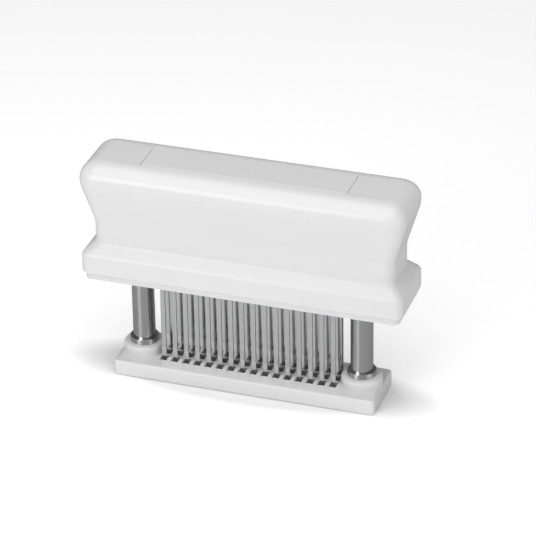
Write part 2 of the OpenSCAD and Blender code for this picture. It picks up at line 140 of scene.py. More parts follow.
def material(name, paint, **fixed):
    """A principled material. paint(start) gives what varies, and fixed holds the constant sockets."""
    made = bpy.data.materials.new(name)
    made.use_nodes = True
    shader = made.node_tree.nodes["Principled BSDF"]
    for socket, value in fixed.items():
        shader.inputs[socket.replace("_", " ").title().replace("Ior", "IOR")].default_value = value
    for socket, wire in paint(Wire(made.node_tree)).items():
        made.node_tree.links.new(wire.socket, shader.inputs[socket])
    return made


def noise(start, scale, detail=2.0, stretch=(1.0, 1.0, 1.0)):
    """Noise over the piece's own coordinates, drawn out along an axis by a stretch above 1."""
    place = start.node("ShaderNodeTexCoord", output="Object")
    squeeze = tuple(1 / s for s in stretch)
    place = start.node("ShaderNodeMapping", {"Vector": place, "Scale": squeeze})
    return start.node("ShaderNodeTexNoise", {"Vector": place, "Scale": scale, "Detail": detail})


def bumped(start, height, depth):
    """A bumped normal, from a height between 0 and 1 and the real depth of the relief."""
    return start.node("ShaderNodeBump", {"Height": height, "Strength": 1.0, "Distance": depth})


def moulded_white(start):
    """Glossy moulded ABS: faint clouding and the slight orange peel of a polished mould."""
    cloud = noise(start, 35.0, detail=3.0)
    peel = noise(start, 420.0)
    return {
        "Base Color": cloud.between((0.722, 0.713, 0.718, 1), (0.752, 0.743, 0.748, 1)),
        "Roughness": 0.16 + 0.08 * cloud,
        "Normal": bumped(start, peel, 0.012 * mm),
    }


white_plastic = material("white ABS", moulded_white, ior=1.5, specular_ior_level=0.38)


def rounded_outline(half_x, half_y, radius, steps=8):
    """Points anticlockwise round a rectangle with round corners, centred on the origin."""
    points = []
    for quarter, (side_x, side_y) in enumerate([(1, 1), (-1, 1), (-1, -1), (1, -1)]):
        for step in range(steps + 1):
            a = pi / 2 * (quarter + step / steps)
            x = side_x * (half_x - radius) + radius * cos(a)
            y = side_y * (half_y - radius) + radius * sin(a)
            points.append(Vector((x, y, 0)))
    return points


def circle(radius, centre=(0, 0), steps=64):
    """Points anticlockwise round a circle."""
    angles = [tau * i / steps for i in range(steps)]
    return [Vector((centre[0] + radius * cos(a), centre[1] + radius * sin(a), 0)) for a in angles]


def lifted(outline, z):
    """The outline at height z."""
    return [Vector((p.x, p.y, z)) for p in outline]


def arc(centre_r, centre_z, radius, start, end, steps=6):
    """Profile points (r, z) on a quarter round or other arc, in degrees."""
    angles = [radians(start + (end - start) * i / steps) for i in range(steps + 1)]
    return [(centre_r + radius * cos(a), centre_z + radius * sin(a)) for a in angles]


def turned(profile, centre=(0, 0), steps=64):
    """Rings of a turned shape, one for each profile point (r, z)."""
    return [lifted(circle(r, centre, steps), z) for r, z in profile]


def add_skin(bm, rings):
    """Quads between neighbouring rings that have the same number of points."""
    made = [[bm.verts.new(p) for p in ring] for ring in rings]
    for low, high in zip(made, made[1:]):
        for i in range(len(low)):
            j = (i + 1) % len(low)
            bm.faces.new((low[i], low[j], high[j], high[i]))


def add_flat(bm, outline, holes, z):
    """A flat face at height z with holes in it."""
    loops = [lifted(loop, z) for loop in [outline, *holes]]
    verts = [bm.verts.new(p) for loop in loops for p in loop]
    for corners in tessellate_polygon([[p / mm for p in loop] for loop in loops]):
        bm.faces.new([verts[i] for i in corners])


def plain(made):
    """Turns what an object's modifiers make into its own plain mesh."""
    graph = bpy.context.evaluated_depsgraph_get()
    mesh = bpy.data.meshes.new_from_object(
        made.evaluated_get(graph), preserve_all_data_layers=True, depsgraph=graph)
    made.modifiers.clear()
    made.data = mesh
    mesh.name = made.name
    return made


def new_object(name, bm, finish, crease=38, weld=0.0005 * mm):
    """A piece from a bmesh, smooth but for edges sharper than crease, flat faces kept flat."""
    bmesh.ops.remove_doubles(bm, verts=bm.verts, dist=weld)
    bmesh.ops.recalc_face_normals(bm, faces=bm.faces)
    for face in bm.faces:
        face.smooth = True
    for edge in bm.edges:
        edge.smooth = edge.calc_face_angle(0) < radians(crease)
    mesh = bpy.data.meshes.new(name)
    bm.to_mesh(mesh)
    bm.free()
    mesh.materials.append(finish)
    made = bpy.data.objects.new(name, mesh)
    bpy.context.scene.collection.objects.link(made)
    made.modifiers.new("flat faces stay flat", "WEIGHTED_NORMAL").keep_sharp = True
    return plain(made)


def set_input(modifier, label, value):
    """Sets a Geometry Nodes input by the identifier of the socket that has this label."""
    for item in modifier.node_group.interface.items_tree:
        if item.name == label and item.in_out == "INPUT":
            modifier[item.identifier] = value


def grown(name, tree, inputs):
    """A plain piece from a Geometry Nodes tree, its inputs set by label."""
    made = bpy.data.objects.new(name, bpy.data.meshes.new(name))
    bpy.context.scene.collection.objects.link(made)
    modifier = made.modifiers.new(tree.name, "NODES")
    modifier.node_group = tree
    for label, value in inputs.items():
        set_input(modifier, label, value)
    return plain(made)


def new_tree(name, inputs):
    """An empty Geometry Nodes tree with these inputs, and a function that wires each by name."""
    tree = bpy.data.node_groups.new(name, "GeometryNodeTree")
    for label, kind in inputs.items():
        tree.interface.new_socket(label, in_out="INPUT", socket_type="NodeSocket" + kind)
    tree.interface.new_socket("Geometry", in_out="OUTPUT", socket_type="NodeSocketGeometry")
    start = Wire(tree)
    return start, lambda label: start.node("NodeGroupInput", output=label)


def tree_output(geometry, finish):
    """Ends a tree in real geometry with its material."""
    real = geometry.node("GeometryNodeRealizeInstances", {"Geometry": geometry})
    real = real.node("GeometryNodeSetMaterial", {"Geometry": real, "Material": finish})
    real.node("NodeGroupOutput", {"Geometry": real})


def grid_tree():
    """Copies of one unit on a grid of columns and rows."""
    start, given = new_tree("copies on a grid", {
        "Unit": "Object", "Columns": "Int", "Rows": "Int", "Column pitch": "Float",
        "Row pitch": "Float", "Middle": "Vector", "Finish": "Material"})
    grid = start.node("GeometryNodeMeshGrid", {
        "Vertices X": given("Columns"), "Vertices Y": given("Rows"),
        "Size X": given("Column pitch") * (given("Columns") - 1),
        "Size Y": given("Row pitch") * (given("Rows") - 1)})
    grid = start.node("GeometryNodeTransform", {"Geometry": grid, "Translation": given("Middle")})
    unit = start.node("GeometryNodeObjectInfo", {"Object": given("Unit")}, output="Geometry")
    copies = start.node("GeometryNodeInstanceOnPoints", {"Points": grid, "Instance": unit})
    tree_output(copies, given("Finish"))
    return start.tree


copies_on_grid = grid_tree()


def repeated(name, unit, finish, counts, pitches, middle=(0, 0, 0)):
    """One mesh that holds copies of unit on a grid, and removes the unit."""
    made = grown(name, copies_on_grid, {
        "Unit": unit, "Columns": counts[0], "Rows": counts[1], "Column pitch": pitches[0],
        "Row pitch": pitches[1], "Middle": middle, "Finish": finish})
    bpy.data.objects.remove(unit)
    return made


def slot_centres():
    """The middles of all the blade slots, which are the blades' own places."""
    xs = [blade_pitch * (i - (blades_per_row - 1) / 2) for i in range(blades_per_row)]
    ys = [row_y * (i - (blade_rows - 1) / 2) for i in range(blade_rows)]
    return [Vector((x, y, 0)) for x in xs for y in ys]


def slot_outline(size, rim, corner):
    """A slot's outline, grown by a rim where its edge is broken."""
    return rounded_outline(size[0] / 2 + rim, size[1] / 2 + rim, corner + rim, steps=3)


def slot_grid(name, size, corner, rim, low, high, finish):
    """The walls of all the blade slots through a plate from low to high, with broken edges."""
    turns = [0, 45, 90]
    bottom = [(low + rim * (1 - cos(radians(a))), rim * (1 - sin(radians(a)))) for a in turns]
    top = [(high - (z - low), grow) for z, grow in reversed(bottom)]
    bm = bmesh.new()
    add_skin(bm, [lifted(slot_outline(size, grow, corner), z) for z, grow in bottom + top])
    unit = new_object(name + " slot", bm, finish)
    return repeated(name + " slots", unit, finish, (blades_per_row, blade_rows),
                    (blade_pitch, row_y))


def take(bm, made):
    """Moves an object's mesh into a bmesh and removes the object."""
    bm.from_mesh(made.data)
    bpy.data.objects.remove(made)


def rounded_side(low, high, edge, steps=6):
    """Heights up the side of a plate, each with how far the outline stands in there."""
    turns = [pi / 2 * i / steps for i in range(steps + 1)]
    foot = [(edge * (1 - sin(a)), edge * (1 - cos(a))) for a in turns]
    return [(low + z, inset) for inset, z in foot] + [(high - z, inset) for inset, z in foot[::-1]]


def plate_rings(half, corner, sides):
    """Rings of a plate with round corners, from heights and insets."""
    return [lifted(rounded_outline(half[0] - inset, half[1] - inset, corner - inset), z)
            for z, inset in sides]


bosses = [(-column_x, 0), (column_x, 0)]
boss_foot_r = boss_r + boss_flare
hole_r = spigot_r + spigot_fit
broken_edge = 0.15 * mm
boss_profile = (
    arc(boss_foot_r, plate_t + boss_flare, boss_flare, 270, 180)
    + arc(boss_r - boss_edge, base_high.z - boss_edge, boss_edge, 0, 90, steps=8)
    + [(hole_r + broken_edge, base_high.z), (hole_r, base_high.z - broken_edge),
       (hole_r, column_low.z), (screw_hole_r, column_low.z),
       (screw_hole_r, screw_pocket_depth), (screw_pocket_r, screw_pocket_depth),
       (screw_pocket_r, 0)])
slot_loops = [[centre + p for p in slot_outline(slot_size, slot_rim, slot_corner)]
              for centre in slot_centres()]

bm = bmesh.new()
sides = plate_rings((base_high.x, base_high.y), plate_corner, rounded_side(0, plate_t, plate_edge))
add_skin(bm, sides)
add_flat(bm, sides[-1], slot_loops + [circle(boss_foot_r, c) for c in bosses], plate_t)
add_flat(bm, sides[0], slot_loops + [circle(screw_pocket_r, c) for c in bosses], 0)
for centre in bosses:
    add_skin(bm, turned(boss_profile, centre))
take(bm, slot_grid("base", slot_size, slot_corner, slot_rim, 0, plate_t, white_plastic))
slotted_base = new_object("slotted_base", bm, white_plastic)
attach(slotted_base, "base")
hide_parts("base_plate")

# ---- Columns ----
# Two guide tubes in polished stainless steel, turned with a flange and a spigot at the foot and
# closed by a floor that the spring stands on. A screw from below pulls each into its boss.

spring_low, spring_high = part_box("spring_right")
ring_low, ring_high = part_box("stop_ring_right")

tube_r = 5.0 * mm
bore_r = 4.0 * mm
flange_r = 6.6 * mm
flange_taper = 0.3 * mm
flange_t = 2.3 * mm
groove_r = 4.6 * mm
thread_r = 2.05 * mm
thread_top = column_low.z + 7 * mm
lead_in = 0.4 * mm
sharp_edge = 0.1 * mm


def drawn_steel(start):
    """Polished tube with faint streaks along its length."""
    streak = noise(start, 700.0, stretch=(1, 1, 60))
    haze = noise(start, 60.0)
    return {
        "Base Color": streak.between((0.53, 0.532, 0.535, 1), (0.63, 0.633, 0.637, 1)),
        "Roughness": 0.14 + 0.07 * streak + 0.06 * haze,
        "Normal": bumped(start, streak, 0.0015 * mm),
    }


polished_steel = material("polished steel", drawn_steel, metallic=1.0)
flange_top = base_high.z + flange_t
flange_shoulder = flange_r - flange_taper
column_profile = [
    (0, thread_top), (thread_r, thread_top), (thread_r, column_low.z),
    (spigot_r - broken_edge, column_low.z), (spigot_r, column_low.z + broken_edge),
    (spigot_r, base_high.z), (flange_r - sharp_edge, base_high.z),
    (flange_r, base_high.z + sharp_edge), (flange_shoulder, flange_top - sharp_edge),
    (flange_shoulder - sharp_edge, flange_top), (tube_r, flange_top),
    (tube_r, ring_low.z - spigot_fit), (groove_r, ring_low.z - spigot_fit),
    (groove_r, ring_high.z + spigot_fit), (tube_r, ring_high.z + spigot_fit),
    (tube_r, column_high.z - lead_in), (tube_r - lead_in, column_high.z),
    (bore_r + sharp_edge, column_high.z), (bore_r, column_high.z - sharp_edge),
    (bore_r, spring_low.z), (0, spring_low.z)]
for name, side in (("left", -1), ("right", 1)):
    bm = bmesh.new()
    add_skin(bm, turned(column_profile, (side * column_x, 0), steps=96))
    tube = new_object("guide_tube_" + name, bm, polished_steel)
    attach(tube, "base")
    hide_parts("column_" + name)

# ---- Column screws and washers ----
# A pan-head screw and a flat washer in each pocket under the plate, both in zinc-plated steel.
# The screw's thread is rolled, and it pulls the column's spigot down into the boss.

washer_low, washer_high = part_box("column_washers")
column_screw_low, column_screw_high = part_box("column_screws")
washer_r = 4.3 * mm


def plated(start):
    """Bright zinc plating, a little uneven."""
    patch = noise(start, 500.0, detail=4.0)
    return {
        "Base Color": patch.between((0.50, 0.51, 0.52, 1), (0.64, 0.65, 0.66, 1)),
        "Roughness": 0.26 + 0.16 * patch,
        "Normal": bumped(start, patch, 0.002 * mm),
    }


fastener_steel = material("zinc-plated steel", plated, metallic=1.0)


def cut(made, cutter, operation="DIFFERENCE"):
    """Cuts one closed mesh with another, or joins them, and removes the other."""
    step = made.modifiers.new(operation.lower(), "BOOLEAN")
    step.operation = operation
    step.object = cutter
    step.solver = "EXACT"
    plain(made)
    bpy.data.objects.remove(cutter)
    return made


def wedge(name, length, width, depth, top):
    """One bar of a cross recess, narrower at its foot. It stands a little above the head."""
    above = (top + depth * 0.2, 1.08)
    foot = (top - depth, 0.55)
    bm = bmesh.new()
    for z, share in (above, foot):
        corners = [(-1, -1), (1, -1), (1, 1), (-1, 1)]
        for x, y in corners:
            bm.verts.new((x * length / 2 * share, y * width / 2 * share, z))
    bmesh.ops.convex_hull(bm, input=bm.verts)
    return new_object(name, bm, fastener_steel)


def screw(name, head_r, head_h, shank_r, shank_l, lead, up=1, steps=24):
    """A threaded pan-head screw with a cross recess: its head stands on z = 0, to up."""
    root_r = shank_r * 0.78
    point = shank_r * 1.1
    flank = 1.6
    plain_neck = 0.8 * mm
    steps_per_lead = 8
    count = ceil(shank_l / lead * steps_per_lead)
    rings = []
    for i in range(count + 1):
        z = -shank_l * (1 - i / count)
        taper = min(1, (z + shank_l) / point) ** 0.5
        ring = []
        for k in range(steps):
            turn = (z / lead - k / steps) % 1
            crest = max(0, 1 - abs(2 * turn - 1) * flank) if z < -plain_neck else 1
            r = (root_r + (shank_r - root_r) * crest) * taper
            ring.append(Vector((r * cos(tau * k / steps), r * sin(tau * k / steps), z)))
        rings.append(ring)
    wall = head_h * 0.4
    dome_steps = 8
    dome = [(head_r * cos(a), wall + (head_h - wall) * sin(a))
            for a in [pi / 2 * i / dome_steps for i in range(dome_steps + 1)]]
    rings += turned([(head_r - sharp_edge, 0), (head_r, sharp_edge), *dome], steps=steps)
    bm = bmesh.new()
    add_skin(bm, rings)
    made = new_object(name, bm, fastener_steel)
    recess_l = head_r * 1.15
    recess_w = head_r * 0.28
    recess_d = head_h * 0.55
    for turn in (0, pi / 2):
        cutter = wedge(name + " recess", recess_l, recess_w, recess_d, head_h)
        cutter.data.transform(Matrix.Rotation(turn, 4, "Z"))
        cut(made, cutter)
    if up < 0:
        made.data.transform(Matrix.Rotation(pi, 4, "X"))
    return made


bm = bmesh.new()
washer_sides = rounded_side(washer_low.z, washer_high.z, sharp_edge, steps=2)
washer = [(washer_r - inset, z) for z, inset in washer_sides]
washer += [(thread_r + inset, z) for z, inset in washer_sides[::-1]]
add_skin(bm, turned(washer + washer[:1]))
unit = new_object("washer", bm, fastener_steel)
washers = repeated("flat_washers", unit, fastener_steel, (2, 1), (2 * column_x, 0))
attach(washers, "base")
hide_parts("column_washers")

column_screw_r = 2.0 * mm
column_screw_head_r = 3.8 * mm
column_screw_lead = 0.7 * mm
unit = screw("column screw", column_screw_head_r, washer_low.z - column_screw_low.z,
             column_screw_r, column_screw_high.z - washer_low.z, column_screw_lead, up=-1)
column_screws = repeated("column_foot_screws", unit, fastener_steel, (2, 1), (2 * column_x, 0),
                         (0, 0, washer_low.z))
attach(column_screws, "base")
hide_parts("column_screws")

# ---- Springs ----
# One long compression spring in each tube, coiled from hard-drawn wire with closed ends. It
# stands on the tube's floor and lifts the handle.

wire_d = 0.8 * mm
coil_r = 3.3 * mm
active_turns = 18
closed_turns = 2
stations_per_turn = 28
spring_l = spring_high.z - spring_low.z
open_pitch = (spring_l - (closed_turns + 1) * wire_d) / active_turns


def coiled_wire(start):
    """Hard-drawn wire with a slightly dull, oiled surface."""
    patch = noise(start, 900.0, detail=3.0)
    return {
        "Base Color": patch.between((0.34, 0.345, 0.35, 1), (0.48, 0.485, 0.49, 1)),
        "Roughness": 0.24 + 0.14 * patch,
        "Normal": bumped(start, patch, 0.002 * mm),
    }


spring_steel = material("spring wire", coiled_wire, metallic=1.0)


def coil_tree():
    """A wire that winds up round the Z axis, with one closed turn at each end."""
    start, given = new_tree("coil spring", {
        "Turns": "Float", "Open pitch": "Float", "Coil radius": "Float", "Wire": "Float",
        "Stations": "Int", "Foot": "Vector", "Finish": "Material"})
    line = start.node("GeometryNodeCurvePrimitiveLine")
    line = start.node("GeometryNodeResampleCurve", {"Curve": line, "Count": given("Stations")})
    share = start.node("GeometryNodeSplineParameter", output="Factor")
    turn = share * (given("Turns") + closed_turns)
    closed = start.maths("MINIMUM", turn, 1.0) + start.maths(
        "MAXIMUM", turn - given("Turns") - 1, 0.0)
    opened = start.maths("MINIMUM", start.maths("MAXIMUM", turn - 1, 0.0), given("Turns"))
    height = given("Wire") * (closed + 0.5) + given("Open pitch") * opened
    angle = turn * tau
    point = start.node("ShaderNodeCombineXYZ", {
        "X": given("Coil radius") * start.maths("COSINE", angle),
        "Y": given("Coil radius") * start.maths("SINE", angle), "Z": height})
    coil = start.node("GeometryNodeSetPosition", {"Geometry": line, "Position": point})
    wire_sides = 10
    section = start.node("GeometryNodeCurvePrimitiveCircle", {
        "Resolution": wire_sides, "Radius": given("Wire") * 0.5})
    coil = start.node("GeometryNodeCurveToMesh", {
        "Curve": coil, "Profile Curve": section, "Fill Caps": True})
    coil = start.node("GeometryNodeSetShadeSmooth", {"Geometry": coil})
    coil = start.node("GeometryNodeTransform", {"Geometry": coil, "Translation": given("Foot")})
    tree_output(coil, given("Finish"))
    return start.tree


coil_spring = coil_tree()
for name, side in (("left", -1), ("right", 1)):
    spring = grown("return_spring_" + name, coil_spring, {
        "Turns": float(active_turns), "Open pitch": open_pitch, "Coil radius": coil_r,
        "Wire": wire_d, "Stations": stations_per_turn * (active_turns + closed_turns) + 1,
        "Foot": (side * column_x, 0, spring_low.z), "Finish": spring_steel})
    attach(spring, "base")
    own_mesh(spring)
    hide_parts("spring_" + name)

# ---- Handle shell ----
# The hollow grip, injection moulded in glossy white ABS: a flange, a waist for the fingers and a
# rounded crown with a recess for the top cover. Bosses inside take the bottom cover's screws.

cover_low, cover_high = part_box("bottom_cover")
shell_low, shell_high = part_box("handle_shell")
panel_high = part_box("top_cover")[1]
cover_screw_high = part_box("cover_screws")[1]

shell_wall = 2.5 * mm
roof_t = 4.0 * mm
shell_edge = 0.8 * mm
smallest_corner = 0.6 * mm
crown_half = (shell_high.x, shell_high.y)
flange_half = (73.0 * mm, 17.6 * mm)
waist_half = (68.0 * mm, 13.4 * mm)
flange_corner = 4.0 * mm
waist_corner = 5.0 * mm
crown_corner = 7.5 * mm
roof_corner = 2.0 * mm
flange_h = 9.1 * mm
slope_h = 5.0 * mm
waist_h = 10.0 * mm
crown_h = 8.0 * mm
crown_in = 9.0 * mm
crown_brow = 2.4 * mm
flange_round = 1.0 * mm
slope_round = 1.1 * mm
waist_round = 2.0 * mm
panel_gap = 0.12 * mm
panel_edge = 0.3 * mm
panel_edge_middle = 0.3
panel_t = 2.0 * mm
panel_ledge = 2.5 * mm
panel_corner = 1.5 * mm
panel_ledge_corner = 1.0 * mm


def station(z, half, corner):
    """One level of the shell: its height, half its length and width, and its corner radius."""
    return Vector((z, half[0], half[1], corner))


def bend(before, corner, after, reach, steps=8):
    """Stations that round a corner of the profile, from reach below it to reach above it."""
    start = corner + (before - corner) * reach / abs(before[0] - corner[0])
    end = corner + (after - corner) * reach / abs(after[0] - corner[0])
    shares = [i / steps for i in range(steps + 1)]
    return [start * (1 - t) ** 2 + corner * 2 * t * (1 - t) + end * t * t for t in shares]


flange_top_z = shell_low.z + flange_h
waist_low_z = flange_top_z + slope_h
waist_high_z = waist_low_z + waist_h
crown_low_z = shell_high.z - crown_h
f_low = station(shell_low.z, flange_half, flange_corner)
f_high = station(flange_top_z, flange_half, flange_corner)
w_low = station(waist_low_z, waist_half, waist_corner)
w_high = station(waist_high_z, waist_half, waist_corner)
c_low = station(crown_low_z - crown_brow, crown_half, crown_corner)
c_high = station(crown_low_z, crown_half, crown_corner)
body_stations = (bend(f_low, f_high, w_low, flange_round) + bend(f_high, w_low, w_high, slope_round)
                 + bend(w_low, w_high, c_low, waist_round) + bend(w_high, c_low, c_high, crown_brow))


def crown(rise, steps=16):
    """The round of the crown: a quarter of an ellipse that runs in to the flat top."""
    rounds = []
    for i in range(1, steps + 1):
        a = pi / 2 * i / steps
        inward = crown_in * (1 - cos(a))
        corner = crown_corner - (crown_corner - roof_corner) * (1 - cos(a))
        rounds.append(station(crown_low_z + rise * sin(a),
                              (crown_half[0] - inward, crown_half[1] - inward), corner))
    return rounds


def shell_ring(s, inset=0.0):
    """The shell's outline at a station, or that of its inner wall."""
    corner = max(s[3] - inset, smallest_corner)
    return lifted(rounded_outline(s[1] - inset, s[2] - inset, corner, steps=12), s[0])


def panel_ring(grow, z, corner=panel_corner):
    """The outline of the recess for the top cover, grown or drawn in."""
    return lifted(rounded_outline(panel_high.x + grow, panel_high.y + grow, corner, steps=12), z)


rim_steps = 6
rim = [f_low + shell_edge * Vector((1 - cos(a), sin(a) - 1, sin(a) - 1, sin(a) - 1))
       for a in [pi / 2 * i / rim_steps for i in range(rim_steps + 1)]]
outside = [shell_ring(s) for s in rim + body_stations + crown(crown_h)]
recess = [panel_ring(panel_gap + panel_edge, shell_high.z),
          panel_ring(panel_gap + panel_edge * panel_edge_middle,
                     shell_high.z - panel_edge * panel_edge_middle),
          panel_ring(panel_gap, shell_high.z - panel_edge),
          panel_ring(panel_gap, panel_high.z - panel_t),
          panel_ring(-panel_ledge, panel_high.z - panel_t, panel_ledge_corner),
          panel_ring(-panel_ledge, shell_high.z - roof_t, panel_ledge_corner)]
inside = [shell_ring(s, shell_wall) for s in crown(crown_h - roof_t)[::-1] + body_stations[::-1]]
foot = shell_ring(f_low, shell_wall)
bm = bmesh.new()
add_skin(bm, outside + recess + inside + [foot, outside[0]])
handle = new_object("handle_body", bm, white_plastic)

cover_screw_r = 1.4 * mm
cover_screw_head_r = 2.7 * mm
cover_screw_head_h = 1.6 * mm
cover_screw_at = (cover_screw_high.x - cover_screw_head_r, cover_screw_high.y - cover_screw_head_r)
screw_boss_r = 3.3 * mm
screw_boss_top = waist_low_z + waist_h / 2
screw_boss_hole_r = 1.45 * mm
screw_boss_hole_top = shell_low.z + 11.0 * mm
boss_skin = [
    (0, screw_boss_hole_top), (screw_boss_hole_r, screw_boss_hole_top),
    (screw_boss_hole_r, shell_low.z), (screw_boss_r, shell_low.z),
    (screw_boss_r, screw_boss_top), (0, screw_boss_top)]
bm = bmesh.new()
add_skin(bm, turned(boss_skin, steps=48))
unit = new_object("screw boss", bm, white_plastic)
screw_bosses = repeated("screw bosses", unit, white_plastic, (2, 2),
                        (2 * cover_screw_at[0], 2 * cover_screw_at[1]))
cut(handle, screw_bosses, "UNION")
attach(handle, "handle")
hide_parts("handle_shell")

# ---- Top cover ----
# A long flat lid, moulded like the shell and let in flush with its top. Rails with snap hooks
# underneath hold it.


def softened(name, node, edge, finish, steps=2, crease=38, weld=0.001 * mm, flat=0.5):
    """A CAD part with its triangles merged and its sharp edges rounded."""
    bm = bmesh.new()
    bm.from_mesh(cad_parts[node].data)
    bmesh.ops.remove_doubles(bm, verts=bm.verts, dist=weld)
    bmesh.ops.dissolve_limit(bm, angle_limit=radians(flat), verts=bm.verts, edges=bm.edges)
    made = new_object(name, bm, finish, crease)
    rounding = made.modifiers.new("softened edges", "BEVEL")
    rounding.width = edge
    rounding.segments = steps
    rounding.limit_method = "ANGLE"
    rounding.angle_limit = radians(crease)
    made.modifiers.new("flat faces stay flat", "WEIGHTED_NORMAL").keep_sharp = True
    return plain(made)


lid = softened("top_lid", "top_cover", panel_edge, white_plastic)
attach(lid, "handle")
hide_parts("top_cover")

# ---- Bottom cover ----
# A slotted plate that closes the handle from below, moulded in white ABS. A lip locates it in
# the shell, and two hubs carry the guide bushes.

cover_half = (cover_high.x, cover_high.y)
cover_corner = 3.0 * mm
cover_edge = 0.35 * mm
lip_half = (flange_half[0] - shell_wall - panel_gap, flange_half[1] - shell_wall - panel_gap)
lip_corner = 1.5 * mm
lip_inner_corner = 0.75 * mm
lip_h = 2.5 * mm
lip_t = 1.5 * mm
lip_edge = 0.2 * mm
hub_r = 7.8 * mm
hub_bore_r = 6.4 * mm
cover_slot = (2.7 * mm, 1.4 * mm)
cover_slot_corner = 0.2 * mm
cover_slot_rim = 0.1 * mm
carrier_screw_at = (36.68 * mm, 2.8 * mm)
carrier_thread_r = 1.25 * mm
carrier_thread_floor = cover_low.z + 0.8 * mm
cover_hole_r = 1.55 * mm
cover_pocket_r = 3.0 * mm
cover_seat_z = cover_low.z + 1.75 * mm


def four_places(at):
    """A place and its mirror images in the handle's two planes of symmetry."""
    return [(x * at[0], y * at[1]) for x in (-1, 1) for y in (-1, 1)]


top_z = shell_low.z
lip_side = [(top_z, 0), (top_z + lip_h - lip_edge, 0), (top_z + lip_h, lip_edge)]
lip_rings = plate_rings(lip_half, lip_corner, lip_side)
lip_inner_half = (lip_half[0] - lip_t, lip_half[1] - lip_t)
lip_rings += plate_rings(lip_inner_half, lip_inner_corner, [(top_z + lip_h, 0), (top_z, 0)])
cover_slot_loops = [[centre + p for p in slot_outline(cover_slot, cover_slot_rim,
                                                      cover_slot_corner)]
                    for centre in slot_centres()]
bm = bmesh.new()
sides = plate_rings(cover_half, cover_corner, rounded_side(cover_low.z, top_z, cover_edge, 4))
add_skin(bm, sides)
add_skin(bm, lip_rings)
add_flat(bm, sides[-1], [lip_rings[0]], top_z)
add_flat(bm, lip_rings[-1], cover_slot_loops + [circle(hub_r, c) for c in bosses]
         + [circle(cover_hole_r, c, 32) for c in four_places(cover_screw_at)]
         + [circle(carrier_thread_r, c, 32) for c in four_places(carrier_screw_at)], top_z)
add_flat(bm, sides[0], cover_slot_loops + [circle(hub_bore_r, c) for c in bosses]
         + [circle(cover_pocket_r, c, 32) for c in four_places(cover_screw_at)], cover_low.z)
for centre in bosses:
    add_skin(bm, turned([
        (hub_r, top_z), (hub_r, cover_high.z - broken_edge),
        (hub_r - broken_edge, cover_high.z), (hub_bore_r + broken_edge, cover_high.z),
        (hub_bore_r, cover_high.z - broken_edge), (hub_bore_r, cover_low.z)], centre))
for centre in four_places(cover_screw_at):
    add_skin(bm, turned([
        (cover_hole_r, top_z), (cover_hole_r, cover_seat_z),
        (cover_pocket_r, cover_seat_z), (cover_pocket_r, cover_low.z)], centre, 32))
for centre in four_places(carrier_screw_at):
    add_skin(bm, turned([
        (carrier_thread_r, top_z), (carrier_thread_r, carrier_thread_floor),
        (0, carrier_thread_floor)], centre, 32))
take(bm, slot_grid("cover", cover_slot, cover_slot_corner, cover_slot_rim, cover_low.z, top_z,
                   white_plastic))
cover = new_object("slotted_cover", bm, white_plastic)
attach(cover, "handle")
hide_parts("bottom_cover")

# ---- Guide bushes ----
# Flanged bushes moulded in natural acetal and pressed into the hubs of the bottom cover. The
# handle runs on the columns in them.

bush_low, bush_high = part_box("guide_bush_right")
bush_bore_r = 5.05 * mm
bush_r = 6.35 * mm


def moulded_acetal(start):
    """Natural acetal: ivory white with a satin face."""
    cloud = noise(start, 120.0, detail=3.0)
    return {
        "Base Color": cloud.between((0.70, 0.69, 0.64, 1), (0.78, 0.77, 0.72, 1)),
        "Roughness": 0.40 + 0.12 * cloud,
        "Normal": bumped(start, noise(start, 1500.0), 0.003 * mm),
    }


bearing_plastic = material("natural acetal", moulded_acetal, ior=1.48)
bush_profile = [
    (bush_bore_r + broken_edge, bush_low.z), (bush_r - broken_edge, bush_low.z),
    (bush_r, bush_low.z + broken_edge), (bush_r, cover_high.z), (hub_r - sharp_edge, cover_high.z),
    (hub_r, cover_high.z + sharp_edge), (hub_r, bush_high.z - broken_edge),
    (hub_r - broken_edge, bush_high.z), (bush_bore_r + broken_edge, bush_high.z),
    (bush_bore_r, bush_high.z - broken_edge), (bush_bore_r, bush_low.z + broken_edge)]
for name, side in (("left", -1), ("right", 1)):
    bm = bmesh.new()
    add_skin(bm, turned(bush_profile + bush_profile[:1], (side * column_x, 0)))
    bush = new_object("flanged_bush_" + name, bm, bearing_plastic)
    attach(bush, "handle")
    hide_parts("guide_bush_" + name)

# ---- Stop rings ----
# Snap rings of spring steel, clipped into a groove near the top of each column, that keep the
# handle on.

ring_r = (ring_high.x - ring_low.x) / 2
ring_inner_r = 4.65 * mm
ring_edge = 0.08 * mm
ring_steps = 60
half_gap_outside = 17.0
half_gap_inside = 23.0
plier_hole_r = 0.4 * mm
plier_hole_turn = 30


def slab(bm, outline, holes, low, high, edge):
    """A flat piece with broken edges: an outline, anticlockwise, and holes, clockwise."""
    levels = [(low, edge), (low + edge, 0), (high - edge, 0), (high, edge)]
    loops = [[lifted(drawn_in(loop, inset), z) for z, inset in levels]
             for loop in [outline, *holes]]
    for rings in loops:
        add_skin(bm, rings)
    for level, z in ((0, low), (-1, high)):
        add_flat(bm, loops[0][level], [rings[level] for rings in loops[1:]], z)


def drawn_in(outline, distance):
    """The outline moved towards its left by a distance, with mitred corners."""
    moved = []
    for i, p in enumerate(outline):
        before = (p - outline[i - 1]).normalized()
        after = (outline[(i + 1) % len(outline)] - p).normalized()
        mitre = Vector((-before.y - after.y, before.x + after.x, 0))
        moved.append(p + mitre * (distance / max(0.3, mitre.length_squared / 2)))
    return moved


def polar(r, turn):
    """The point at a radius and a turn in degrees."""
    return Vector((r * cos(radians(turn)), r * sin(radians(turn)), 0))


def open_round(r, start, end):
    """Points round most of a circle, between two turns in degrees."""
    return [polar(r, start + (end - start) * i / ring_steps) for i in range(ring_steps + 1)]


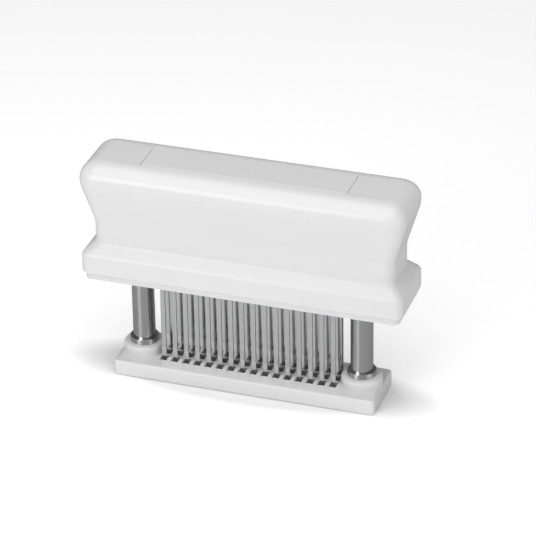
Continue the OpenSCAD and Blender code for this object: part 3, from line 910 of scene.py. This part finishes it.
for name, side in (("left", -1), ("right", 1)):
    outer = open_round(ring_r, half_gap_outside - 90, 270 - half_gap_outside)
    inner = open_round(ring_inner_r, 270 - half_gap_inside, half_gap_inside - 90)
    holes = [[polar((ring_r + ring_inner_r) / 2, turn - 90) + p
              for p in circle(plier_hole_r, steps=16)[::-1]]
             for turn in (-plier_hole_turn, plier_hole_turn)]
    bm = bmesh.new()
    slab(bm, outer + inner, holes, ring_low.z, ring_high.z, ring_edge)
    bmesh.ops.translate(bm, verts=bm.verts, vec=(side * column_x, 0, 0))
    ring = new_object("snap_ring_" + name, bm, spring_steel)
    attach(ring, "base")
    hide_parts("stop_ring_" + name)

# ---- Spring seats ----
# Acetal plungers, studded into the roof, that press on the springs from above. A slim pin on
# each keeps the coil straight.

seat_low, seat_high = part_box("spring_seat_right")
seat_pin_r = 2.3 * mm
seat_pin_round = 0.8 * mm
seat_plunger_r = 3.7 * mm
seat_flange_r = 5.0 * mm
seat_stud_r = 2.0 * mm
seat_flange_t = 1.4 * mm
roof_z = shell_high.z - roof_t
seat_flange_z = roof_z - seat_flange_t
seat_profile = [
    (0, seat_low.z),
    *arc(seat_pin_r - seat_pin_round, seat_low.z + seat_pin_round, seat_pin_round, 270, 360),
    (seat_pin_r, spring_high.z), (seat_plunger_r - broken_edge, spring_high.z),
    (seat_plunger_r, spring_high.z + broken_edge), (seat_plunger_r, seat_flange_z),
    (seat_flange_r - broken_edge, seat_flange_z), (seat_flange_r, seat_flange_z + broken_edge),
    (seat_flange_r, roof_z), (seat_stud_r, roof_z), (seat_stud_r, seat_high.z - broken_edge),
    (seat_stud_r - broken_edge, seat_high.z), (0, seat_high.z)]
for name, side in (("left", -1), ("right", 1)):
    bm = bmesh.new()
    add_skin(bm, turned(seat_profile, (side * column_x, 0)))
    seat = new_object("spring_plunger_" + name, bm, bearing_plastic)
    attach(seat, "handle")
    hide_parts("spring_seat_" + name)

# ---- Cover screws ----
# Four zinc-plated self-tapping screws with pan heads, in pockets of the bottom cover. They cut
# their own thread in the shell's bosses.

cover_screw_lead = 1.1 * mm
unit = screw("cover screw", cover_screw_head_r, cover_screw_head_h, cover_screw_r,
             cover_screw_high.z - cover_seat_z, cover_screw_lead, up=-1)
cover_screws = repeated("self_tapping_screws", unit, fastener_steel, (2, 2),
                        (2 * cover_screw_at[0], 2 * cover_screw_at[1]), (0, 0, cover_seat_z))
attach(cover_screws, "handle")
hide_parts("cover_screws")

# ---- Blades ----
# Forty-eight flat blades stamped from stainless strip, each with a T head that hangs on a cross
# pin, ground flats and a slanted edge honed at the tip.

pins_low, pins_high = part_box("blade_pins")
blade_half = 1.05 * mm
blade_t = blades_high.y - blades_low.y
head_half = blade_head_w / 2
head_h = 5.6 * mm
head_z = blades_high.z - head_h
tip_slant = 3.0 * mm
honed_h = 1.6 * mm
honed_share = 0.06
blade_edge = 0.07 * mm
pin_z = (pins_low.z + pins_high.z) / 2
pin_r = (pins_high.z - pins_low.z) / 2


def ground_steel(start):
    """Stainless strip ground along its length: fine lines and a satin sheen."""
    line = noise(start, 2600.0, stretch=(1, 1, 90))
    patch = noise(start, 90.0)
    return {
        "Base Color": line.between((0.53, 0.535, 0.54, 1), (0.61, 0.615, 0.62, 1)),
        "Roughness": 0.10 + 0.05 * line + 0.03 * patch,
        "Normal": bumped(start, line, 0.0003 * mm),
    }


blade_steel = material("ground blade steel", ground_steel, metallic=1.0)


def blade():
    """One blade, upright and facing front, at its real height, with its honed end thinned."""
    grind_z = blades_low.z + honed_h
    side = [(blade_half, blades_low.z), (blade_half, grind_z), (blade_half, head_z),
            (head_half, head_z), (head_half, blades_high.z), (-head_half, blades_high.z),
            (-head_half, head_z), (-blade_half, head_z), (-blade_half, grind_z + tip_slant),
            (-blade_half, blades_low.z + tip_slant)]
    outline = [Vector((x, z, 0)) for x, z in side]
    eye = [p + Vector((0, pin_z, 0)) for p in circle(pin_r + spigot_fit, steps=20)[::-1]]
    levels = [(-blade_t / 2, blade_edge), (blade_edge - blade_t / 2, 0),
              (blade_t / 2 - blade_edge, 0), (blade_t / 2, blade_edge)]
    skins = [[lifted(drawn_in(loop, inset), z) for z, inset in levels] for loop in (outline, eye)]
    for ring in skins[0]:
        for tip in (ring[0], ring[-1]):
            tip.z *= honed_share
    bm = bmesh.new()
    for rings in skins:
        add_skin(bm, rings)
    for level in (0, -1):
        ring = skins[0][level]
        add_flat(bm, ring[1:-1], [skins[1][level]], ring[1].z)
        bm.faces.new([bm.verts.new(p) for p in (ring[0], ring[1], ring[-2], ring[-1])])
    bmesh.ops.transform(bm, matrix=Matrix.Rotation(pi / 2, 4, "X"), verts=bm.verts)
    return new_object("blade", bm, blade_steel, crease=25)


for index, row in enumerate(("front", "middle", "rear")):
    blades = repeated("blade_row_" + row, blade(), blade_steel, (blades_per_row, 1),
                      (blade_pitch, 0), (0, row_y * (index - 1), 0))
    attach(blades, "handle")
    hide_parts("blades_" + row)

# ---- Blade pins ----
# Pins of ground stainless wire, each pushed across the carrier and through the eyes of three
# blades.

pin_l = pins_high.y - pins_low.y
pin_edge = 0.2 * mm
pin_sides = rounded_side(-pin_l / 2, pin_l / 2, pin_edge, steps=2)
bm = bmesh.new()
add_skin(bm, turned([(0, -pin_l / 2), *[(pin_r - inset, z) for z, inset in pin_sides],
                     (0, pin_l / 2)], steps=24))
bmesh.ops.transform(bm, matrix=Matrix.Rotation(pi / 2, 4, "X"), verts=bm.verts)
unit = new_object("pin", bm, blade_steel)
pins = repeated("cross_pins", unit, blade_steel, (blades_per_row, 1), (blade_pitch, 0),
                (0, 0, pin_z))
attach(pins, "handle")
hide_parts("blade_pins")

# ---- Blade carrier and its cap ----
# A machined acetal block with three grooves for the blades' heads, and the plate that closes
# them. Both are boxed in by the handle.

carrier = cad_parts["blade_carrier"]
carrier.material_slots[0].material = bearing_plastic
cap_edge = 0.2 * mm
cap = softened("carrier_lid", "carrier_cap", cap_edge, bearing_plastic)
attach(cap, "handle")
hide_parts("carrier_cap")

# ---- Carrier screws ----
# Four long zinc-plated screws with pan heads, driven through the cap and the carrier into the
# bottom cover.

cap_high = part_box("carrier_cap")[1]
carrier_screw_low, carrier_screw_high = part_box("carrier_screws")
carrier_screw_head_r = 2.1 * mm
carrier_screw_r = 1.2 * mm
carrier_screw_lead = 0.9 * mm
unit = screw("carrier screw", carrier_screw_head_r, carrier_screw_high.z - cap_high.z,
             carrier_screw_r, cap_high.z - carrier_screw_low.z, carrier_screw_lead)
carrier_screws = repeated("long_screws", unit, fastener_steel, (2, 2),
                          (2 * carrier_screw_at[0], 2 * carrier_screw_at[1]), (0, 0, cap_high.z))
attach(carrier_screws, "handle")
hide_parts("carrier_screws")

# ---- Studio ----
# A pale table under three soft boxes and a faint white surround. The camera stands where the
# photograph was taken from.

camera_azimuth = radians(18.808)
camera_elevation = radians(29.207)
camera_roll = radians(-0.846)
camera_distance = 1.38933
camera_shift = (6.786 * mm, 49.324 * mm)
focal_length = 210.335
across = Vector((cos(camera_azimuth), sin(camera_azimuth), 0))
back = Vector((sin(camera_azimuth) * cos(camera_elevation),
               -cos(camera_azimuth) * cos(camera_elevation), sin(camera_elevation)))
upward = back.cross(across)
right = cos(camera_roll) * across + sin(camera_roll) * upward
up = -sin(camera_roll) * across + cos(camera_roll) * upward
place = camera_shift[0] * right + camera_shift[1] * up + camera_distance * back
lens = bpy.data.cameras.new("camera")
lens.lens = focal_length
lens.sensor_width = 36
camera = bpy.data.objects.new("camera", lens)
camera.matrix_world = Matrix.Translation(place) @ Matrix((right, up, back)).transposed().to_4x4()
bpy.context.scene.collection.objects.link(camera)
bpy.context.scene.camera = camera


def soft_box(name, width, height, power, spot, aim=(0, 0, 0.05)):
    """A soft box at spot that faces aim."""
    lamp = bpy.data.lights.new(name, "AREA")
    lamp.shape = "RECTANGLE"
    lamp.size = width
    lamp.size_y = height
    lamp.energy = power
    made = bpy.data.objects.new(name, lamp)
    made.location = spot
    made.rotation_euler = (Vector(spot) - Vector(aim)).to_track_quat("Z", "Y").to_euler()
    bpy.context.scene.collection.objects.link(made)


soft_box("key", width=0.55, height=0.55, power=3.8, spot=(-0.47, -1.0, 0.48))
soft_box("top", width=1.4, height=1.4, power=13.8, spot=(0.06, -0.32, 1.15))
soft_box("fill", width=1.0, height=0.4, power=4.6, spot=(1.45, -0.40, 0.10))

surround_strength = 0.12
sky = bpy.data.worlds.new("studio")
sky.use_nodes = True
sky.node_tree.nodes["Background"].inputs["Color"].default_value = (1, 1, 1, 1)
sky.node_tree.nodes["Background"].inputs["Strength"].default_value = surround_strength
bpy.context.scene.world = sky
bpy.context.scene.view_settings.view_transform = "Standard"

table_half = 4
table_cloud = 3.0
# grey that the table shows only in reflections: painted shade in the steel's reflections
painted_shade_grey = (0.47, 0.47, 0.47, 1)
glow_free = (1 / 15, 1 / 50)
glow_slope = 3


def pale_table(start):
    """White to the eye; grey and without glow where steel mirrors it, which is painted shade in
    the steel's reflections. It glows a little, but not under the tool: the glow starts at the
    edge of an ellipse with the half axes glow_free, and is full a third further out."""
    mirrored = start.node("ShaderNodeLightPath", output="Is Glossy Ray")
    seen = noise(start, table_cloud).between((0.93, 0.93, 0.93, 1), (0.95, 0.95, 0.95, 1))
    place = start.node("ShaderNodeTexCoord", output="Object")
    per_axis = (1 / glow_free[0], 1 / glow_free[1], 0)
    place = start.node("ShaderNodeVectorMath", {0: place, 1: per_axis}, operation="MULTIPLY")
    away = start.node("ShaderNodeVectorMath", {0: place}, operation="LENGTH", output="Value")
    clear = start.maths("MINIMUM", start.maths("MAXIMUM", glow_slope * (away - 1), 0.0), 1.0)
    glow = clear.between((0, 0, 0, 1), (1, 1, 1, 1))
    return {
        # painted shade: the table is grey only where steel mirrors it, white to the eye
        "Base Color": mirrored.between(seen, painted_shade_grey),
        "Emission Color": mirrored.between(glow, (0, 0, 0, 1)),
    }


bm = bmesh.new()
bmesh.ops.create_grid(bm, x_segments=1, y_segments=1, size=table_half)
floor = new_object("table", bm, material("table", pale_table, roughness=0.25,
                                         specular_ior_level=0.6, emission_strength=0.35))
